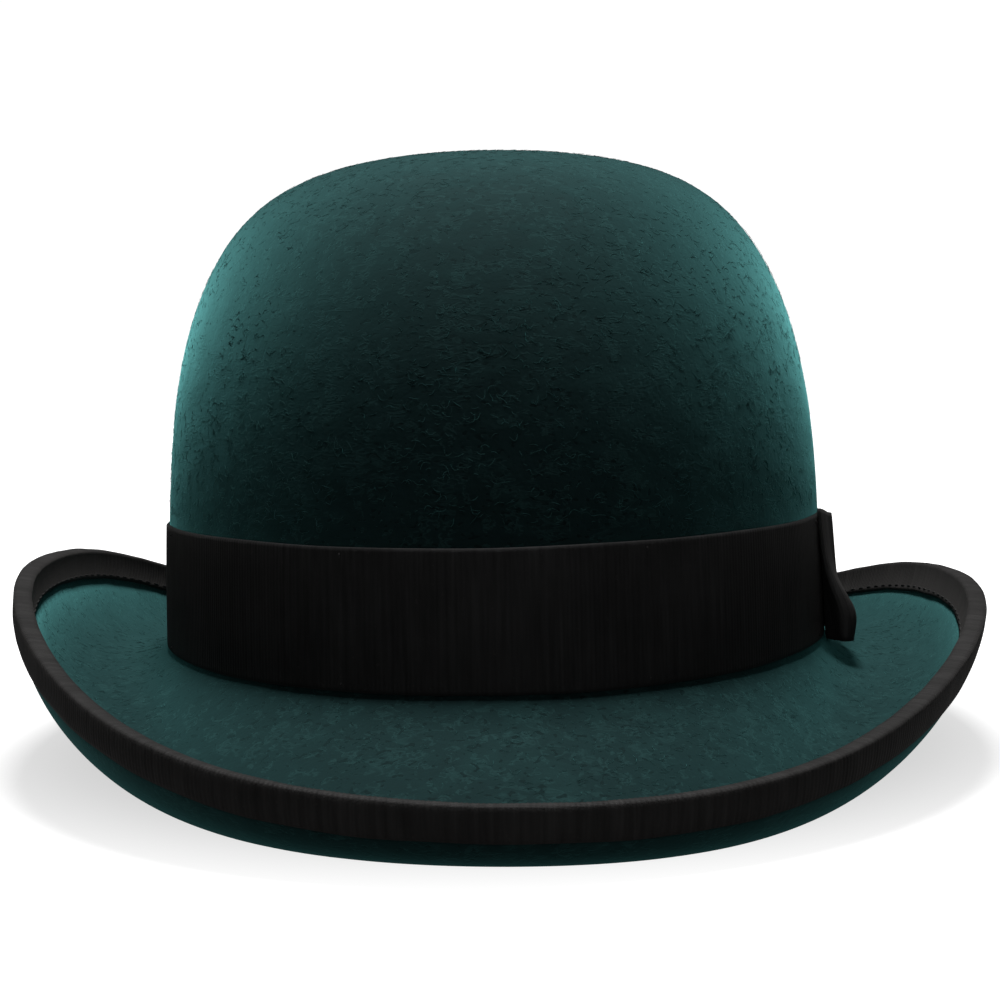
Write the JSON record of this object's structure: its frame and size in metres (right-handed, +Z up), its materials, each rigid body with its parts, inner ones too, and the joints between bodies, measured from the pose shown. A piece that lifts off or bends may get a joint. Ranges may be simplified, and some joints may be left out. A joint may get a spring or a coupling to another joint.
{
  "type": "bowler hat",
  "caption": "Round-crowned stiff felt hat with a curled, ribbon-bound brim, a ribbon band with a side bow, a leather sweatband and a lining.",
  "frame": {"origin": "centre of the head oval, on the plane that the brim stands on", "axes": "+Z up through the middle of the crown, -Y towards the front of the hat, +X towards the wearer's left, the side with the bow"},
  "size_m": [0.2449, 0.3198, 0.1493],
  "materials": {
    "wool_felt": "dark green-blue brushed wool felt with a short nap",
    "ribbon": "black grosgrain ribbon with fine cross ribs",
    "thread": "black sewing thread",
    "leather": "smooth brown sweatband leather, satin",
    "reed": "natural colour springy reed",
    "tape": "matte woven cotton tape",
    "light_thread": "tan sewing thread",
    "label": "plain off-white woven tab",
    "satin": "black satin lining with a soft sheen",
    "piping": "satin covered cord"
  },
  "bodies": {
    "root": {"felt_body": "wool_felt", "brim_binding": "ribbon", "binding_stitches": "thread", "hat_band": "ribbon", "hat_band_tacks": "thread", "bow_front_loop": "ribbon", "bow_back_loop": "ribbon", "bow_knot": "ribbon", "bow_tacks": "thread", "sweatband": "leather", "sweatband_reed": "reed", "reed_tape": "tape", "sweatband_stitches": "light_thread", "sweatband_seam_stitches": "light_thread", "sweatband_bow": "ribbon", "size_label": "label", "lining_side": "satin", "lining_tip": "satin", "lining_piping": "piping", "lining_tacks": "thread"}
  },
  "joints": []
}
